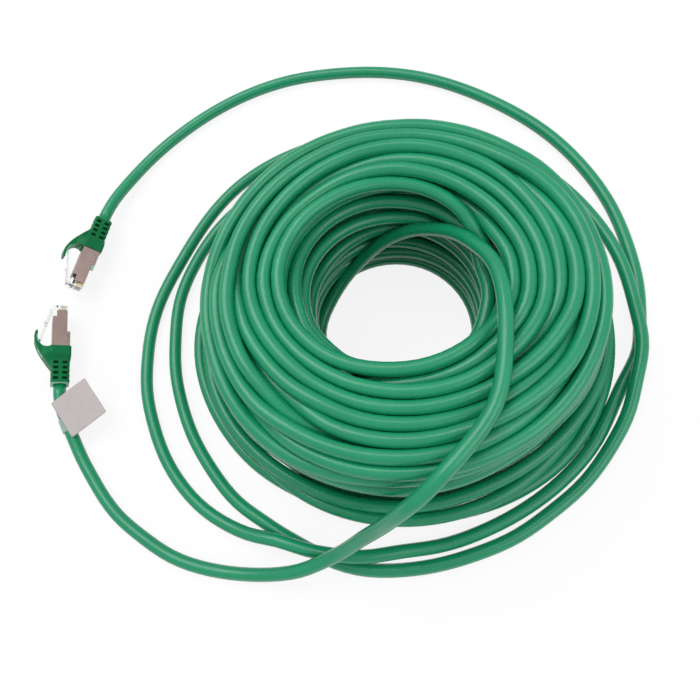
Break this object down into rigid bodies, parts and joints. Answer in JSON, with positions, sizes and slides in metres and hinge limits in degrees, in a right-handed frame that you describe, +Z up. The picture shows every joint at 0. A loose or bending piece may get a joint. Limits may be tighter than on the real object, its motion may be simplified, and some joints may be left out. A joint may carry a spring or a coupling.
{
  "type": "ethernet patch cable",
  "caption": "Coiled shielded network patch cable with a snagless modular plug at each end, spring latches under boot covers and a blank flag label near one plug.",
  "frame": {"origin": "middle of the coil on the surface it lies on", "axes": "+Z up from the surface, +X towards the side of the coil away from the plugs, +Y towards the side where the loose loops run on to the coil"},
  "size_m": [0.2868, 0.2624, 0.0747],
  "materials": {
    "cable_jacket": "semi-gloss PVC",
    "cable_bundle": "semi-gloss PVC, in the shade of the outer turns",
    "label_paper": "matt white paper in clear film",
    "clear_plastic": "clear polycarbonate",
    "plug_shield": "satin nickel-plated",
    "contact_gold": "gold-plated",
    "load_bar_plastic": "milky clear",
    "conductor_insulation": "eight colours",
    "shield_foil": "foil",
    "drain_wire": "tinned copper",
    "boot_plastic": "soft PVC"
  },
  "bodies": {
    "root": {"lead_a": "cable_jacket", "loose_loops": "cable_jacket", "coil_outer_turns": "cable_jacket", "coil_inner_turns": "cable_bundle", "lead_b": "cable_jacket", "label_flag": "label_paper", "plug_a_housing": "clear_plastic", "plug_a_shield": "plug_shield", "plug_a_contacts": "contact_gold", "plug_a_load_bar": "load_bar_plastic", "plug_a_conductors": "conductor_insulation", "plug_a_foil_core": "shield_foil", "plug_a_jacket_end": "cable_jacket", "plug_a_drain_wire": "drain_wire", "plug_a_boot": "boot_plastic", "plug_b_housing": "clear_plastic", "plug_b_shield": "plug_shield", "plug_b_contacts": "contact_gold", "plug_b_load_bar": "load_bar_plastic", "plug_b_conductors": "conductor_insulation", "plug_b_foil_core": "shield_foil", "plug_b_jacket_end": "cable_jacket", "plug_b_drain_wire": "drain_wire", "plug_b_boot": "boot_plastic"},
    "plug_a_cover": {"plug_a_latch_cover": "boot_plastic"},
    "plug_a_latch": {"plug_a_latch": "clear_plastic"},
    "plug_b_cover": {"plug_b_latch_cover": "boot_plastic"},
    "plug_b_latch": {"plug_b_latch": "clear_plastic"}
  },
  "joints": [
    {"name": "plug_a_cover_press", "type": "hinge", "parent": "root", "child": "plug_a_cover", "pos_m": [-0.15519, 0.05329, 0.01107], "axis": [0.5826, -0.1507, 0.7986], "range_deg": [0, 12], "stiffness_Nm_per_rad": 0.02},
    {"name": "plug_a_latch_press", "type": "hinge", "parent": "root", "child": "plug_a_latch", "pos_m": [-0.16198, 0.02622, 0.01092], "axis": [-0.5826, 0.1507, -0.7986], "range_deg": [0, 14], "stiffness_Nm_per_rad": 0.02},
    {"name": "plug_b_cover_press", "type": "hinge", "parent": "root", "child": "plug_b_cover", "pos_m": [-0.16488, -0.01639, 0.01055], "axis": [-0.4963, -0.0609, -0.866], "range_deg": [0, 12], "stiffness_Nm_per_rad": 0.02},
    {"name": "plug_b_latch_press", "type": "hinge", "parent": "root", "child": "plug_b_latch", "pos_m": [-0.16807, 0.01133, 0.01043], "axis": [0.4963, 0.0609, 0.866], "range_deg": [0, 14], "stiffness_Nm_per_rad": 0.02}
  ],
  "couplings": [
    {"joint": "plug_a_latch_press", "follows": "plug_a_cover_press", "ratio": 0.8},
    {"joint": "plug_b_latch_press", "follows": "plug_b_cover_press", "ratio": 0.8}
  ]
}
